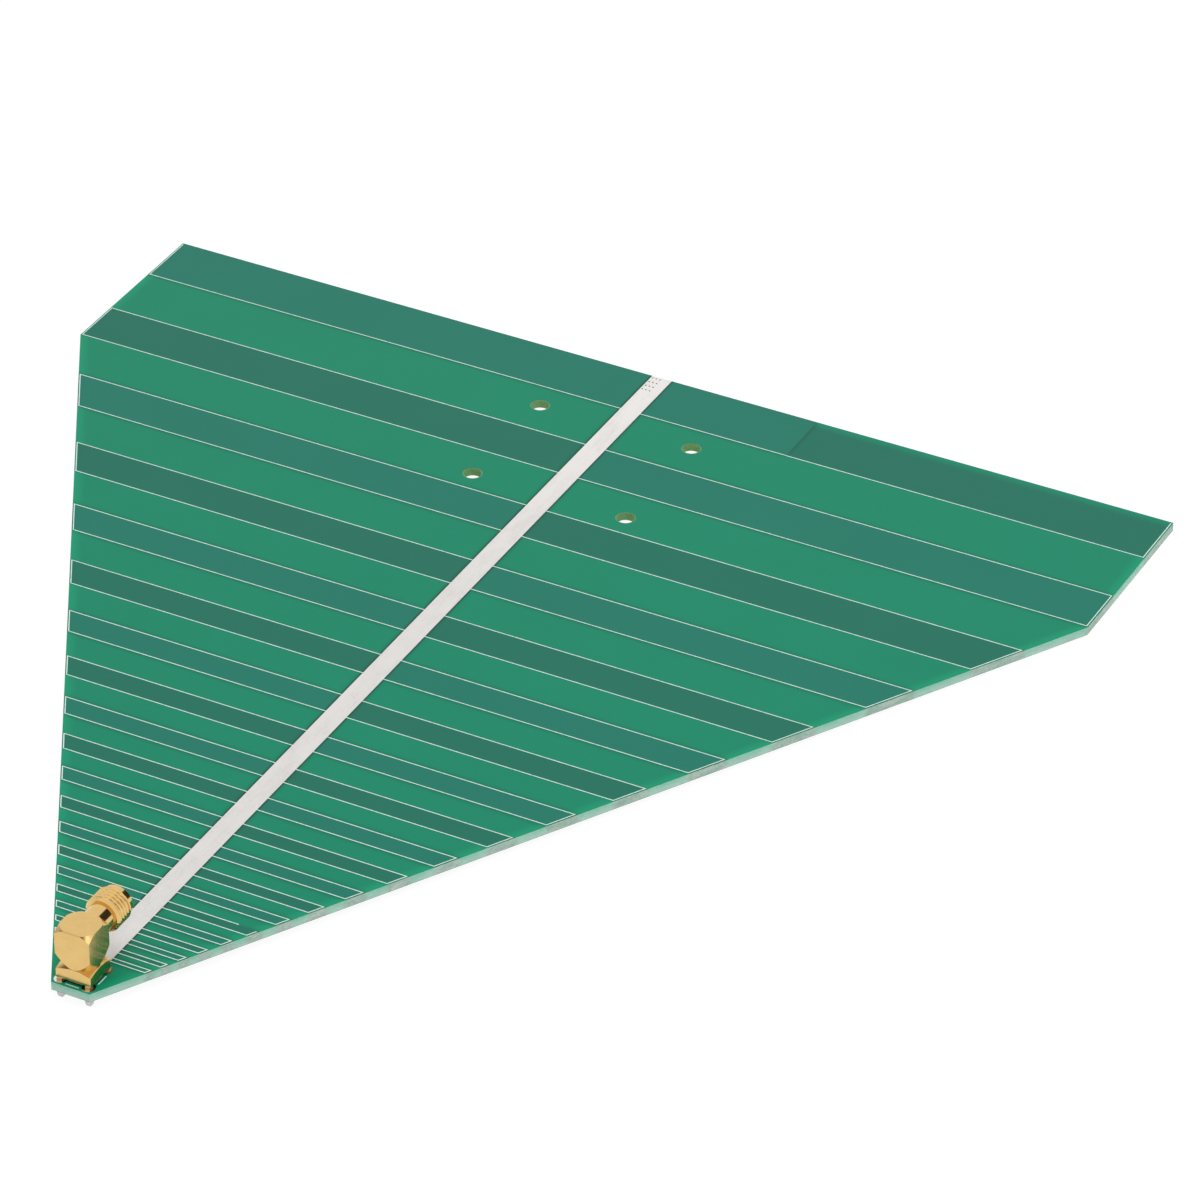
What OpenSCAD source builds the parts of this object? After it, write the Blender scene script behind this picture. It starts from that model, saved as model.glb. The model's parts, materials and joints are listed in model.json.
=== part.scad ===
// Log-periodic dipole antenna etched on a circuit board, fed by a right-angle coaxial jack at its tip.
// Frame: X across the elements, +Y along the boom to the rear edge, +Z up out of the component side.
// Origin: middle of the four mounting holes, on the underside of the board.

/* [Board] */
// Width of the board across its parallel sides
board_w = 198; // [150:1:250]
// Width of the flat edge at the tip
tip_w = 7; // [6.8:0.1:12]
// Angle between each tapered side and the boom
taper_angle = 30; // [25:0.5:40]
// Length of the parallel-sided rear part
rear_l = 36.1; // [32:0.1:60]
// Thickness of the board over copper and lacquer
board_t = 1.6; // [0.8:0.1:3.2]

/* [Elements] */
// Ratio of one element's distance from the virtual apex to that of the next longer one
tau = 0.8813; // [0.84:0.0001:0.92]
// Distance from the virtual apex to the tip edge
apex_lead = 9.33; // [4:0.01:20]
// Distance from the rear edge to the middle of the longest element
first_setback = 6.5; // [6.5:0.05:9]
// Width of an element over its distance from the apex
element_ratio = 0.0578; // [0.03:0.0001:0.065]
// Bare rim between an element's end and the edge of the board
element_rim = 0.2; // [0.1:0.05:1]
// Width of the boom strip
boom_w = 3.9; // [2.4:0.1:6]
// Reach of the top stub beside the longest element, from the middle of the boom
stub_reach = 30.7; // [10:0.1:60]
// Distance from the tip edge to the start of the bare stretch of the boom
bare_start = 8.3; // [8:0.1:14]

/* [Layers] */
// Thickness of each copper layer
copper_t = 0.035; // [0.018:0.001:0.07]
// Thickness of the lacquer over copper
mask_t = 0.025; // [0.02:0.001:0.04]
// Height of the step in the lacquer at the edge of the copper
mask_step = 0.015; // [0.005:0.001:0.018]
// Thickness of the tin on the bare strips
tin_t = 0.02; // [0.01:0.001:0.03]
// Thickness of the white print
legend_t = 0.02; // [0.01:0.001:0.03]
// Width of a printed line
legend_w = 0.18; // [0.15:0.01:0.4]
// Element whose printed outline has a break, counted from the longest
break_element = 15; // [2:1:18]
// Length of that break
break_l = 3.7; // [0.5:0.1:5]
// Length of the printed dashes beside the jack
dash_l = 2.4; // [1:0.1:3]
// Gap between the foot of the jack and those dashes, seen from above
dash_gap = 0.15; // [0.1:0.05:0.3]

/* [Mounting holes] */
// Diameter of the mounting holes
hole_d = 3.2; // [2.2:0.1:4.5]
// Distance between the holes across the boom
hole_dx = 30; // [20:0.5:40]
// Distance between the holes along the boom
hole_dy = 25; // [23:0.5:27]
// Distance from the rear edge to the middle of the four holes
hole_setback = 30.55; // [29.5:0.05:31.5]
// Copper kept back from the rim of a mounting hole
hole_clear = 0.3; // [0.3:0.05:1]
// Lacquer kept back from the rim of a mounting hole
hole_relief = 0.2; // [0.1:0.05:0.3]

/* [Vias at the rear end of the boom] */
// Drilled diameter of a via
via_d = 0.42; // [0.3:0.01:0.6]
// Wall of every plated hole
plating_t = 0.05; // [0.02:0.01:0.1]
// Vias across the boom
via_columns = 3; // [1:1:3]
// Vias along the boom
via_rows = 4; // [1:1:6]
// Distance between vias across the boom
via_dx = 0.73; // [0.65:0.01:0.9]
// Distance between vias along the boom
via_dy = 1.36; // [0.8:0.01:2]
// Distance from the side of the boom to the first column
via_edge_x = 0.4; // [0.35:0.01:0.6]
// Distance from the rear edge to the first row
via_edge_y = 0.65; // [0.5:0.01:1.5]

/* [Jack] */
// Distance from the tip edge to the feed pin
jack_setback = 3.95; // [3.9:0.05:4.3]
// Gap between the board and the foot of the jack
jack_gap = 0.45; // [0.3:0.05:2]
// Width of the bar that the jack is turned from
jack_w = 6.35; // [6.2:0.05:7]
// Depth of that bar, along the boom
jack_d = 5.9; // [5.9:0.05:6.6]
// Height of the body
jack_h = 9.3; // [9.1:0.05:10.5]
// Height of the barrel's axis over the foot
axis_h = 6.9; // [6.6:0.05:7]
// Height of the foot's full corners
foot_h = 1.6; // [1:0.05:1.9]
// Height of the bottom of the turned groove
groove_h = 2.25; // [2.1:0.05:2.6]
// Radius at the bottom of the turned groove
groove_r = 2.9; // [2.7:0.05:3.1]
// Height at which the groove runs out at the corners
groove_top = 4.55; // [3.6:0.05:5]
// Height of the turned bevel round the top
bevel_h = 0.95; // [0.4:0.05:1.4]
// Radius of the round top face
top_r = 3.3; // [2.8:0.05:3.9]
// Distance between the legs
leg_pitch = 5.08; // [4.9:0.01:5.2]
// Side of a square leg
leg_w = 0.82; // [0.7:0.02:0.9]
// Length of leg below the board
leg_out = 1.7; // [1.4:0.05:2.5]

/* [Barrel] */
// Distance from the feed pin to the front of the barrel
barrel_front = 11.05; // [10.5:0.05:14]
// Major diameter of the thread
thread_d = 6.35; // [6:0.01:6.4]
// Length of the threaded stretch with its bevels
thread_l = 4.05; // [3.5:0.05:5]
// Bevel at the rear end of the thread
thread_bevel = 0.4; // [0.1:0.05:0.7]
// Radius of the smooth pilot in front of the thread
pilot_r = 2.7; // [2.6:0.05:2.9]
// Length of the pilot
pilot_l = 0.95; // [0.5:0.05:1.5]
// Bevel at the front of the pilot
pilot_bevel = 0.15; // [0.05:0.05:0.25]
// Radius of the smooth neck
neck_r = 2.4; // [2.25:0.05:2.6]
// Radius of the tail pressed into the body
tail_r = 1.95; // [1.8:0.05:2.1]
// Clearance between the tail and the insulator round the feed pin
tail_clear = 0.02; // [0.01:0.01:0.1]
// Diameter of the mouth
mouth_d = 4.6; // [4.4:0.05:5]
// Depth of the mouth
mouth_depth = 1.9; // [1:0.1:2.5]

/* [Contact and insulators] */
// Diameter of the insulators
insulator_d = 4.1; // [3.8:0.05:4.2]
// Diameter of the insulator where it passes the tail
insulator_waist_d = 3; // [2.4:0.05:3.2]
// Length of that waist outside the body
waist_l = 0.6; // [0.3:0.1:1.5]
// Diameter of the contact and of the feed pin
pin_d = 1.27; // [1:0.01:1.4]
// Diameter of the contact's socket
socket_d = 0.94; // [0.8:0.01:0.96]
// Depth of the contact's socket
socket_depth = 3; // [2:0.1:4]
// Width of the slots in the contact
slot_w = 0.2; // [0.1:0.05:0.3]
// Length of contact behind the feed pin
contact_tail = 0.2; // [0.1:0.05:0.5]
// Diameter of the spigot that joins the pin to the contact
spigot_d = 0.8; // [0.6:0.05:0.9]
// Length of feed pin below the board
pin_out = 1.45; // [1.4:0.05:2.5]

/* [Pads and solder] */
// Drilled diameter of a leg hole
leg_hole_d = 1.6; // [1.56:0.01:1.8]
// Radius of a leg pad
leg_pad_r = 1.15; // [1:0.05:1.3]
// Drilled diameter of the feed hole
feed_hole_d = 1.5; // [1.5:0.01:1.8]
// Radius of the feed pad
feed_pad_r = 1.05; // [1:0.05:1.3]
// Gap etched between a pad and other copper
pad_clear = 0.25; // [0.15:0.05:0.5]
// Height of a solder fillet
fillet_h = 1.3; // [0.5:0.05:1.4]
// Wall of a fillet at its thin end
fillet_rim = 0.12; // [0.05:0.01:0.2]
// Rim of a pad left clear of solder
pad_rim = 0.05; // [0.02:0.01:0.1]

/* [Hidden] */
$fn = 64;
// Outline
shoulder_l = (board_w - tip_w) / 2 / tan(taper_angle);
board_l = shoulder_l + rear_l;
rear_y = hole_setback;
tip_y = rear_y - board_l;
feed_y = tip_y + jack_setback;
bare_y = tip_y + bare_start;
// Levels of the layers
core_z0 = copper_t + mask_t;
core_z1 = board_t - copper_t - mask_t;
mask_fill_t = copper_t + mask_t - mask_step;
mask_fill_z = core_z1 + mask_fill_t;
plate_z0 = core_z0 - copper_t;
plate_z1 = core_z1 + copper_t;
// Log-periodic rule: distances from the virtual apex shrink by tau from one element to the next, and the
// shortest element keeps clear of the leg pads
apex_y = tip_y - apex_lead;
first_r = rear_y - first_setback - apex_y;
last_r = (feed_y + leg_pitch / 2 + leg_pad_r + pad_clear - apex_y) / (1 - element_ratio / 2);
element_count = 1 + floor(ln(last_r / first_r) / ln(tau));
// Levels of the jack
foot_z = board_t + jack_gap;
axis_z = foot_z + axis_h;
corner_r = norm([jack_w, jack_d]) / 2;
// Stations along the barrel, from the feed pin
barrel_root = jack_d / 2;
tail_end = insulator_d / 2 + tail_clear;
thread_end = barrel_front - pilot_l;
thread_start = thread_end - thread_l;
mouth_floor = barrel_front - mouth_depth;
waist_end = barrel_root + waist_l;
contact_back = -pin_d / 2 - contact_tail;
// Overshoot of a cutting shape, and straight steps in the curve of a fillet
cut = 0.5;
flare_steps = 5;
LEFT = -1;
RIGHT = 1;

// Distance of element n from the virtual apex, n = 1 for the longest
function apex_distance(n) = first_r * pow(tau, n - 1);
function element_y(n) = apex_y + apex_distance(n);
function element_w(n) = apex_distance(n) * element_ratio;
// The two halves of an element lie on opposite faces, and the next element swaps them
function on_top(n, side) = (n % 2 == 1) == (side == LEFT);
// Half width of the board at y, moved in by an inset
function half_width(y, inset) =
    min(board_w / 2 - inset, tip_w / 2 + (y - tip_y) * tan(taper_angle) - inset / cos(taper_angle));

// Board outline moved in by an inset
module outline(inset = 0) {
    side_x = board_w / 2 - inset;
    nose_y = tip_y + inset;
    nose_x = half_width(nose_y, inset);
    shoulder_y = nose_y + (side_x - nose_x) / tan(taper_angle);
    polygon([
        [-nose_x, nose_y], [nose_x, nose_y], [side_x, shoulder_y],
        [side_x, rear_y - inset], [-side_x, rear_y - inset], [-side_x, shoulder_y]
    ]);
}

// Rectangle between two corners
module field(x0, y0, x1, y1) {
    translate([x0, y0]) square([x1 - x0, y1 - y0]);
}

// One half of element n, from the boom to the rim of the board, moved in on its three free sides. The longest
// element runs on to the rear rim.
module half_element(n, side, inset = 0) {
    reach = element_w(n) / 2 - inset;
    rear_end = n == 1 ? rear_y : element_y(n) + reach;
    intersection() {
        outline(element_rim + inset);
        mirror([side == LEFT ? 1 : 0, 0])
            field(boom_w / 2, element_y(n) - reach, board_w / 2, rear_end);
    }
}

module mounting_holes(d) {
    for (x = [-1, 1], y = [-1, 1]) translate([x * hole_dx / 2, y * hole_dy / 2]) circle(d = d);
}

module at_legs() {
    for (x = [-1, 1], y = [-1, 1]) translate([x * leg_pitch / 2, feed_y + y * leg_pitch / 2]) children();
}

module at_feed() {
    translate([0, feed_y]) children();
}

module at_vias() {
    for (i = [0 : via_columns - 1], j = [0 : via_rows - 1])
        translate([-boom_w / 2 + via_edge_x + i * via_dx, rear_y - via_edge_y - j * via_dy]) children();
}

// Bare stretch of the boom
module bare_strip() {
    field(-boom_w / 2, bare_y, boom_w / 2, rear_y);
}

// Top copper: the boom from the feed pin to the rear edge, with every half element of this face
module top_pattern() {
    difference() {
        union() {
            field(-boom_w / 2, feed_y, boom_w / 2, rear_y);
            for (n = [1 : element_count], side = [LEFT, RIGHT])
                if (on_top(n, side)) half_element(n, side);
            intersection() {
                half_element(1, RIGHT);
                field(0, element_y(1) - board_w, stub_reach, rear_y);
            }
        }
        mounting_holes(hole_d + 2 * hole_clear);
        at_legs() circle(r = leg_pad_r + pad_clear);
        at_feed() circle(r = feed_pad_r);
        at_vias() circle(d = via_d);
    }
}

// Bottom copper: the boom with the other half elements, and the earth patch that takes the legs
module bottom_pattern() {
    patch = (leg_pitch + leg_pad_r) / 2;
    difference() {
        union() {
            field(-boom_w / 2, feed_y, boom_w / 2, rear_y);
            field(-patch, feed_y - patch, patch, feed_y + patch);
            for (n = [1 : element_count], side = [LEFT, RIGHT])
                if (!on_top(n, side)) half_element(n, side);
        }
        mounting_holes(hole_d + 2 * hole_clear);
        at_legs() circle(r = leg_pad_r);
        at_feed() circle(r = feed_pad_r + pad_clear);
        at_vias() circle(d = via_d);
    }
}

// Places the lacquer leaves open
module mask_openings() {
    bare_strip();
    mounting_holes(hole_d + 2 * hole_relief);
    at_legs() circle(r = leg_pad_r);
    at_feed() circle(r = feed_pad_r);
}

module laminate() {
    color("darkseagreen")
        translate([0, 0, core_z0]) linear_extrude(core_z1 - core_z0) difference() {
            outline();
            mounting_holes(hole_d);
            at_legs() circle(d = leg_hole_d);
            at_feed() circle(d = feed_hole_d);
            at_vias() circle(d = via_d);
        }
}

module top_copper() {
    color("peru") translate([0, 0, core_z1]) linear_extrude(copper_t) top_pattern();
}

module bottom_copper() {
    color("peru") translate([0, 0, plate_z0]) linear_extrude(copper_t) bottom_pattern();
}

// Lacquer that lies on the board and steps up over the copper, seen from the face that it covers
module lacquer_field() {
    difference() {
        outline();
        children();
        mask_openings();
    }
}

module lacquer_cap() {
    difference() {
        children();
        mask_openings();
    }
}

module top_solder_mask() {
    color("seagreen") {
        translate([0, 0, core_z1]) linear_extrude(mask_fill_t) lacquer_field() top_pattern();
        translate([0, 0, plate_z1]) linear_extrude(mask_t) lacquer_cap() top_pattern();
    }
}

module bottom_solder_mask() {
    color("seagreen") {
        translate([0, 0, core_z0 - mask_fill_t])
            linear_extrude(mask_fill_t) lacquer_field() bottom_pattern();
        linear_extrude(mask_t) lacquer_cap() bottom_pattern();
    }
}

// Tin over the bare boom, with the bores of the vias left open
module boom_tin() {
    linear_extrude(tin_t) difference() {
        bare_strip();
        at_vias() circle(d = via_d - 2 * plating_t);
    }
}

module top_boom_tin() {
    color("gainsboro") translate([0, 0, plate_z1]) boom_tin();
}

module bottom_boom_tin() {
    color("gainsboro") translate([0, 0, plate_z0 - tin_t]) boom_tin();
}

// Printed outline of one half element: three lines inside its edge, open at the boom. The longest element
// has no line along the rear rim.
module element_print(n, side) {
    difference() {
        half_element(n, side);
        half_element(n, side, legend_w);
        if (n == 1) field(-board_w, rear_y - element_rim - legend_w, board_w, rear_y);
    }
}

// Block that takes the end off the rear line of one right-hand outline
module print_break() {
    rear_edge = element_y(break_element) + element_w(break_element) / 2;
    corner_x = half_width(rear_edge, element_rim);
    translate([corner_x - break_l, rear_edge - 2 * legend_w, 0])
        cube([break_l + cut, 2 * legend_w + cut, board_t + cut]);
}

// Printed dashes on the four sides of the jack
module jack_print() {
    reach = (jack_w + legend_w) / 2 + dash_gap;
    at_feed() for (turn = [0 : 90 : 270])
        rotate(turn) translate([0, -reach]) square([dash_l, legend_w], center = true);
}

module all_print() {
    for (n = [1 : element_count], side = [LEFT, RIGHT]) element_print(n, side);
    jack_print();
}

// The print lies on the lacquer, which is higher over copper
module top_legend() {
    color("white") difference() {
        union() {
            translate([0, 0, mask_fill_z]) linear_extrude(legend_t) difference() {
                all_print();
                top_pattern();
            }
            translate([0, 0, board_t]) linear_extrude(legend_t) intersection() {
                all_print();
                top_pattern();
            }
        }
        print_break();
    }
}

// Tube through the board with a flange on each face
module plated_hole(drill_d, flange_r) {
    difference() {
        union() {
            translate([0, 0, plate_z0]) cylinder(r = flange_r, h = copper_t);
            translate([0, 0, plate_z0]) cylinder(d = drill_d, h = plate_z1 - plate_z0);
            translate([0, 0, core_z1]) cylinder(r = flange_r, h = copper_t);
        }
        translate([0, 0, plate_z0 - cut]) cylinder(d = drill_d - 2 * plating_t, h = board_t + 2 * cut);
    }
}

module boom_end_vias() {
    color("silver") at_vias() plated_hole(via_d, via_d / 2);
}

module leg_hole_plating() {
    color("silver") at_legs() plated_hole(leg_hole_d, leg_pad_r);
}

module feed_hole_plating() {
    color("silver") at_feed() plated_hole(feed_hole_d, feed_pad_r);
}

// Bar turned to a foot, a groove and a bevelled top
module jack_blank() {
    intersection() {
        translate([-jack_w / 2, -jack_d / 2, 0]) cube([jack_w, jack_d, jack_h]);
        rotate_extrude() polygon([
            [0, 0], [corner_r, 0], [corner_r, foot_h], [groove_r, groove_h],
            [corner_r, groove_top], [corner_r, jack_h - bevel_h], [top_r, jack_h], [0, jack_h]
        ]);
    }
}

// Lays a shape turned about Z along the barrel, with its origin at the feed pin
module along_barrel() {
    translate([0, feed_y, axis_z]) rotate([-90, 0, 0]) children();
}

module jack_body() {
    leg_l = jack_gap + board_t + leg_out;
    color("goldenrod") {
        difference() {
            translate([0, feed_y, foot_z]) jack_blank();
            translate([0, feed_y, foot_z - cut])
                cylinder(d = insulator_d, h = axis_h + insulator_waist_d / 2 + cut);
            along_barrel() cylinder(r = tail_r, h = barrel_root + cut);
        }
        at_legs() translate([-leg_w / 2, -leg_w / 2, foot_z - leg_l]) cube([leg_w, leg_w, leg_l]);
    }
}

module jack_barrel() {
    thread_r = thread_d / 2;
    color("gold") along_barrel() rotate_extrude() polygon([
        [insulator_waist_d / 2, tail_end], [tail_r, tail_end], [tail_r, barrel_root], [neck_r, barrel_root],
        [neck_r, thread_start], [thread_r - thread_bevel, thread_start],
        [thread_r, thread_start + thread_bevel], [thread_r, thread_end - (thread_r - pilot_r)],
        [pilot_r, thread_end], [pilot_r, barrel_front - pilot_bevel], [pilot_r - pilot_bevel, barrel_front],
        [mouth_d / 2, barrel_front], [mouth_d / 2, mouth_floor],
        [insulator_d / 2, mouth_floor], [insulator_d / 2, waist_end], [insulator_waist_d / 2, waist_end]
    ]);
}

module barrel_insulator() {
    color("ivory") along_barrel() rotate_extrude() polygon([
        [pin_d / 2, tail_end], [insulator_waist_d / 2, tail_end], [insulator_waist_d / 2, waist_end],
        [insulator_d / 2, waist_end], [insulator_d / 2, mouth_floor], [pin_d / 2, mouth_floor]
    ]);
}

module pin_insulator() {
    color("ivory") difference() {
        translate([0, feed_y, foot_z]) cylinder(d = insulator_d, h = axis_h + insulator_waist_d / 2);
        translate([0, feed_y, foot_z - cut]) cylinder(d = pin_d, h = axis_h + cut);
        translate([0, feed_y, axis_z]) cylinder(d = spigot_d, h = pin_d / 2);
        along_barrel() translate([0, 0, contact_back]) cylinder(d = pin_d, h = insulator_d);
    }
}

// Socket contact with crossed slots at its mouth and a cross hole for the feed pin's spigot
module centre_contact() {
    color("gold") difference() {
        along_barrel() difference() {
            translate([0, 0, contact_back]) cylinder(d = pin_d, h = mouth_floor - contact_back);
            translate([0, 0, mouth_floor - socket_depth]) cylinder(d = socket_d, h = socket_depth + cut);
            for (turn = [0, 90]) rotate(turn)
                translate([-slot_w / 2, -pin_d, mouth_floor - socket_depth])
                    cube([slot_w, 2 * pin_d, socket_depth + cut]);
        }
        translate([0, feed_y, axis_z - pin_d]) cylinder(d = spigot_d, h = 2 * pin_d);
    }
}

module feed_pin() {
    color("gold") translate([0, feed_y, -pin_out]) {
        cylinder(d = pin_d, h = pin_out + axis_z - pin_d / 2);
        cylinder(d = spigot_d, h = pin_out + axis_z + pin_d / 2);
    }
}

// Solder that fills a plated hole and flares out to its pad under the board, turned about the wire
module solder_joint(drill_d, pad_r, thin_r) {
    hole_r = drill_d / 2 - plating_t;
    tip_z = plate_z0 - fillet_h;
    flare = [for (i = [0 : flare_steps])
        [thin_r + (pad_r - thin_r) * pow(i / flare_steps, 2), tip_z + fillet_h * i / flare_steps]];
    rotate_extrude()
        polygon(concat([[0, tip_z]], flare, [[hole_r, plate_z0], [hole_r, plate_z1], [0, plate_z1]]));
}

module leg_solder() {
    color("lightgray") at_legs() difference() {
        solder_joint(leg_hole_d, leg_pad_r - pad_rim, leg_w / sqrt(2) + fillet_rim);
        translate([-leg_w / 2, -leg_w / 2, -leg_out - cut]) cube([leg_w, leg_w, leg_out + board_t + 2 * cut]);
    }
}

module feed_solder() {
    color("lightgray") at_feed() difference() {
        solder_joint(feed_hole_d, feed_pad_r - pad_rim, pin_d / 2 + fillet_rim);
        translate([0, 0, -pin_out - cut]) cylinder(d = pin_d, h = pin_out + board_t + 2 * cut);
    }
}

laminate();
top_copper();
bottom_copper();
top_solder_mask();
bottom_solder_mask();
top_boom_tin();
bottom_boom_tin();
top_legend();
boom_end_vias();
leg_hole_plating();
feed_hole_plating();
jack_body();
jack_barrel();
barrel_insulator();
pin_insulator();
centre_contact();
feed_pin();
leg_solder();
feed_solder();
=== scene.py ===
"""Looks of a log-periodic antenna on a circuit board: finishes, threaded barrel, studio and camera."""

import json
import logging
import math
from dataclasses import dataclass, field
from enum import Enum

import bpy
import numpy as np
from mathutils import Matrix, Vector
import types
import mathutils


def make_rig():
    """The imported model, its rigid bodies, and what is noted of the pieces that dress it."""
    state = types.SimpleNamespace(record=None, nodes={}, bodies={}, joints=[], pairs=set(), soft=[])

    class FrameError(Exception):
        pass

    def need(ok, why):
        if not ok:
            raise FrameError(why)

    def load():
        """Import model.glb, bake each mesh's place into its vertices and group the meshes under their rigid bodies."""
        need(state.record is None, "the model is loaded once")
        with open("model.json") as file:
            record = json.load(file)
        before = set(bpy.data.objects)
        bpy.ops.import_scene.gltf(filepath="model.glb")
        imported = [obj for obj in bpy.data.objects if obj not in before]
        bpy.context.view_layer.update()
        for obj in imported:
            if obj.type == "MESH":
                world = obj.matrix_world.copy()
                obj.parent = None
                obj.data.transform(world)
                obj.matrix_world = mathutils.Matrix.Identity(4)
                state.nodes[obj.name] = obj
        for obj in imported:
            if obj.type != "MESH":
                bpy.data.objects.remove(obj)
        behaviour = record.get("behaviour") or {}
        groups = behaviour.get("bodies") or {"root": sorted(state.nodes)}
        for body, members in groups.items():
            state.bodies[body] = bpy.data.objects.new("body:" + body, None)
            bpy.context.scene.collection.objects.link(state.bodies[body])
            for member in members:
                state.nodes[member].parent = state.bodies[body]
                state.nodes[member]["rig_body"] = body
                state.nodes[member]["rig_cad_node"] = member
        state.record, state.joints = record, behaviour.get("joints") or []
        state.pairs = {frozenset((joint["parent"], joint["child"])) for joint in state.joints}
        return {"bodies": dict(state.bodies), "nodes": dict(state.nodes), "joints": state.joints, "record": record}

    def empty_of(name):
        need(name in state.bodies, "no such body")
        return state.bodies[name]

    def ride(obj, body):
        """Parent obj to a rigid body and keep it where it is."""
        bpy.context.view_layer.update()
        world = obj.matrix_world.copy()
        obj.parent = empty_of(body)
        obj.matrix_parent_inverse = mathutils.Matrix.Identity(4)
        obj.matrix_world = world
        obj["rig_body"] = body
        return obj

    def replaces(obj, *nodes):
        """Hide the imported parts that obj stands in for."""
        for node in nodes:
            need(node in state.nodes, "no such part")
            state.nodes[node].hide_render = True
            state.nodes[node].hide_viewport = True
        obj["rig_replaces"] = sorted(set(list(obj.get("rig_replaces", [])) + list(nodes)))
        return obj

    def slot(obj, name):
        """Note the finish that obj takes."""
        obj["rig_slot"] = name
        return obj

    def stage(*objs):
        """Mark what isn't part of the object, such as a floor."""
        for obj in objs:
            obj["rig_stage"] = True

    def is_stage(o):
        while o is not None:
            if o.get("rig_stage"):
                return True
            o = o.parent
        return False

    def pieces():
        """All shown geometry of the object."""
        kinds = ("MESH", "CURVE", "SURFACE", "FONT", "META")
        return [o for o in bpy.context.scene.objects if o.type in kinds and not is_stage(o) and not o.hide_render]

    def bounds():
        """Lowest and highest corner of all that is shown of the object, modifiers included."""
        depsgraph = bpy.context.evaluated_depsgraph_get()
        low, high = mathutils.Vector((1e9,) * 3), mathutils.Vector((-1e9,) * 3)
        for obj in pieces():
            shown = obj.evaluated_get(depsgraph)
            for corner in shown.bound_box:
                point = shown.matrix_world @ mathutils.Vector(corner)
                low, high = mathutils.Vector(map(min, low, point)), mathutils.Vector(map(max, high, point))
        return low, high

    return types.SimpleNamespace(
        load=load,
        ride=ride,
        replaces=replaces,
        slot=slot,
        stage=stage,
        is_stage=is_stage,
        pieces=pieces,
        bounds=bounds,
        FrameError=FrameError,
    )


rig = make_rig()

LOG = logging.getLogger("antenna")
SIZE_FILE = "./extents.json"
MM = 0.001
Colour = tuple[float, float, float]
Point = tuple[float, float, float]
Pair = tuple[float, float]
Span = tuple[float, float]
WHITE: Colour = (1.0, 1.0, 1.0)


class Face(Enum):
    """The two faces of the board."""

    TOP = 1
    BOTTOM = -1

    @property
    def other(self) -> "Face":
        """The opposite face."""
        return Face(-self.value)


class Turning(Enum):
    """How the marks of the lathe run on a gold piece."""

    FEED = "rings round the upright feed axis"
    BARREL = "rings round the barrel"


class Value:
    """A number socket that takes Python's operators, each of which adds a Math node."""

    def __init__(self, graph: "Graph", socket: bpy.types.NodeSocket) -> None:
        """Keeps the socket and the graph that it belongs to."""
        self.graph = graph
        self.socket = socket

    def __add__(self, other: "Number") -> "Value":
        """Sum."""
        return self.graph.math("ADD", self, other)

    def __radd__(self, other: "Number") -> "Value":
        """Sum with a plain number first."""
        return self.graph.math("ADD", other, self)

    def __sub__(self, other: "Number") -> "Value":
        """Difference."""
        return self.graph.math("SUBTRACT", self, other)

    def __rsub__(self, other: "Number") -> "Value":
        """Difference with a plain number first."""
        return self.graph.math("SUBTRACT", other, self)

    def __mul__(self, other: "Number") -> "Value":
        """Product."""
        return self.graph.math("MULTIPLY", self, other)

    def __rmul__(self, other: "Number") -> "Value":
        """Product with a plain number first."""
        return self.graph.math("MULTIPLY", other, self)

    def __truediv__(self, other: "Number") -> "Value":
        """Quotient."""
        return self.graph.math("DIVIDE", self, other)

    def __rtruediv__(self, other: "Number") -> "Value":
        """Quotient with a plain number first."""
        return self.graph.math("DIVIDE", other, self)

    def __pow__(self, other: "Number") -> "Value":
        """Power."""
        return self.graph.math("POWER", self, other)

    def __rpow__(self, other: "Number") -> "Value":
        """Power of a plain number."""
        return self.graph.math("POWER", other, self)

    def __mod__(self, other: "Number") -> "Value":
        """Remainder that is never negative."""
        return self.graph.math("FLOORED_MODULO", self, other)

    def __abs__(self) -> "Value":
        """Size without sign."""
        return self.graph.math("ABSOLUTE", self)

    def __round__(self) -> "Value":
        """Nearest whole number."""
        return self.graph.math("ROUND", self)

    def __gt__(self, other: "Number") -> "Value":
        """1 where this is larger, else 0."""
        return self.graph.math("GREATER_THAN", self, other)

    def __lt__(self, other: "Number") -> "Value":
        """1 where this is smaller, else 0."""
        return self.graph.math("LESS_THAN", self, other)

    def least(self, other: "Number") -> "Value":
        """The smaller of two values."""
        return self.graph.math("MINIMUM", self, other)

    def most(self, other: "Number") -> "Value":
        """The larger of two values."""
        return self.graph.math("MAXIMUM", self, other)

    def wave(self, period: float) -> "Value":
        """Sine of this value with the given period."""
        return self.graph.math("SINE", self * (2 * math.pi / period))

    def rise(self, low: float, high: float) -> "Value":
        """Smooth step.

        Args:
            low: where the step is 0; it may be the larger end.
            high: where the step is 1.

        Returns:
            The step's share, from 0 to 1.
        """
        inputs = {"Value": self, "From Min": low, "From Max": high}
        made = self.graph.node("ShaderNodeMapRange", {"interpolation_type": "SMOOTHSTEP"}, inputs)
        return Value(self.graph, made.outputs["Result"])


Number = Value | float | int
Tint = bpy.types.NodeSocket | Colour
Sockets = dict[str, Number | Tint]


@dataclass(frozen=True)
class Grain:
    """Noise cells: lengths along X, Y and Z in millimetres, and octaves and strength of finer noise."""

    size: Point
    detail: float = 3.0
    rough: float = 0.55


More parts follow.
